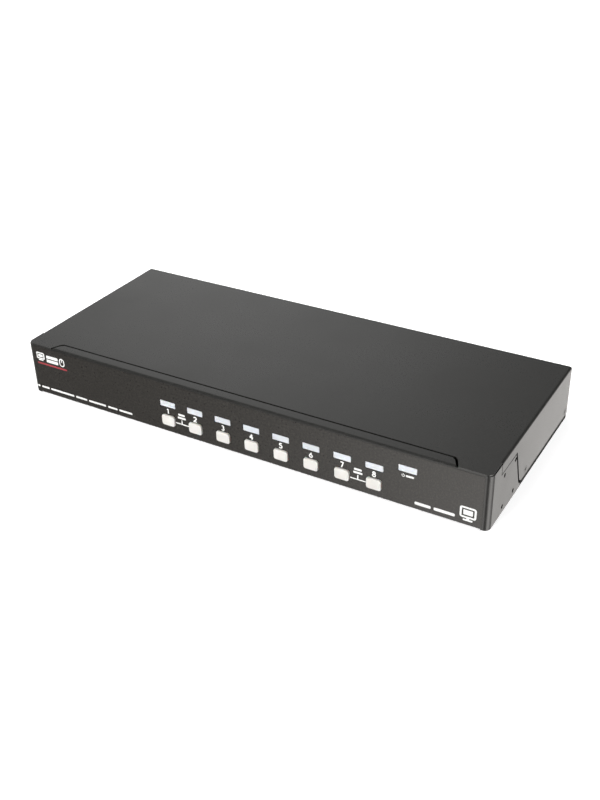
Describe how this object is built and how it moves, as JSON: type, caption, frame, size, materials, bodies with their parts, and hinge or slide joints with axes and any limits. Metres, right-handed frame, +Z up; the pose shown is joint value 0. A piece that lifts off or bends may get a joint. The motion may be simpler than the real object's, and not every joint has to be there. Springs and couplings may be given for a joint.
{
  "type": "kvm switch",
  "caption": "Rack-size KVM switch in a folded black steel case, with a row of push buttons and light windows on the front and computer ports on the back.",
  "frame": {"origin": "middle of the case's footprint, on the surface it stands on", "axes": "+X to the right seen from the front, -Y out of the front panel, +Z up"},
  "size_m": [0.4, 0.1714, 0.0455],
  "materials": {
    "case_black": "satin fine-texture powder coat",
    "film_black": "fine velvet film",
    "screw_black": "black zinc",
    "button_ivory": "fine matt moulded",
    "switch_black": "matt moulded",
    "lens_milky": "milky diffusing",
    "led_amber": "clear tinted",
    "board_green": "solder mask",
    "fastener_steel": "bright zinc",
    "moulding_black": "matt moulded",
    "cable_grey": "ribbed flat cable",
    "chip_black": "moulded epoxy",
    "heat_sink_alu": "extruded",
    "capacitor_sleeve": "shrunk sleeve",
    "connector_nickel": "nickel plated",
    "jack_screw_nickel": "nickel plated"
  },
  "bodies": {
    "case": {"bottom_tray": "case_black", "front_panel": "case_black", "front_film": "film_black", "top_cover": "case_black", "cover_screws": "screw_black", "panel_screws": "screw_black", "switch_1": "switch_black", "switch_2": "switch_black", "switch_3": "switch_black", "switch_4": "switch_black", "switch_5": "switch_black", "switch_6": "switch_black", "switch_7": "switch_black", "switch_8": "switch_black", "port_windows": "lens_milky", "power_window": "lens_milky", "leds": "led_amber", "front_board": "board_green", "front_standoffs": "fastener_steel", "front_board_screws": "fastener_steel", "front_header": "moulding_black", "ribbon_cable": "cable_grey", "main_board": "board_green", "main_standoffs": "fastener_steel", "main_board_screws": "fastener_steel", "main_header": "moulding_black", "main_chip": "chip_black", "video_chips": "chip_black", "heat_sink": "heat_sink_alu", "capacitors": "capacitor_sleeve", "buzzer": "moulding_black", "pc_port_1": "connector_nickel", "pc_port_2": "connector_nickel", "pc_port_3": "connector_nickel", "pc_port_4": "connector_nickel", "pc_port_5": "connector_nickel", "pc_port_6": "connector_nickel", "pc_port_7": "connector_nickel", "pc_port_8": "connector_nickel", "console_port": "connector_nickel", "jack_screws": "jack_screw_nickel", "usb_ports": "connector_nickel", "dc_jack": "moulding_black"},
    "button_1": {"button_1": "button_ivory", "plunger_1": "switch_black"},
    "button_2": {"button_2": "button_ivory", "plunger_2": "switch_black"},
    "button_3": {"button_3": "button_ivory", "plunger_3": "switch_black"},
    "button_4": {"button_4": "button_ivory", "plunger_4": "switch_black"},
    "button_5": {"button_5": "button_ivory", "plunger_5": "switch_black"},
    "button_6": {"button_6": "button_ivory", "plunger_6": "switch_black"},
    "button_7": {"button_7": "button_ivory", "plunger_7": "switch_black"},
    "button_8": {"button_8": "button_ivory", "plunger_8": "switch_black"}
  },
  "joints": [
    {"name": "button_1_press", "type": "slide", "parent": "case", "child": "button_1", "axis": [0, 1, 0], "range_m": [0, 0.0008], "stiffness_N_per_m": 1500, "springref_m": -0.0003},
    {"name": "button_2_press", "type": "slide", "parent": "case", "child": "button_2", "axis": [0, 1, 0], "range_m": [0, 0.0008], "stiffness_N_per_m": 1500, "springref_m": -0.0003},
    {"name": "button_3_press", "type": "slide", "parent": "case", "child": "button_3", "axis": [0, 1, 0], "range_m": [0, 0.0008], "stiffness_N_per_m": 1500, "springref_m": -0.0003},
    {"name": "button_4_press", "type": "slide", "parent": "case", "child": "button_4", "axis": [0, 1, 0], "range_m": [0, 0.0008], "stiffness_N_per_m": 1500, "springref_m": -0.0003},
    {"name": "button_5_press", "type": "slide", "parent": "case", "child": "button_5", "axis": [0, 1, 0], "range_m": [0, 0.0008], "stiffness_N_per_m": 1500, "springref_m": -0.0003},
    {"name": "button_6_press", "type": "slide", "parent": "case", "child": "button_6", "axis": [0, 1, 0], "range_m": [0, 0.0008], "stiffness_N_per_m": 1500, "springref_m": -0.0003},
    {"name": "button_7_press", "type": "slide", "parent": "case", "child": "button_7", "axis": [0, 1, 0], "range_m": [0, 0.0008], "stiffness_N_per_m": 1500, "springref_m": -0.0003},
    {"name": "button_8_press", "type": "slide", "parent": "case", "child": "button_8", "axis": [0, 1, 0], "range_m": [0, 0.0008], "stiffness_N_per_m": 1500, "springref_m": -0.0003}
  ]
}
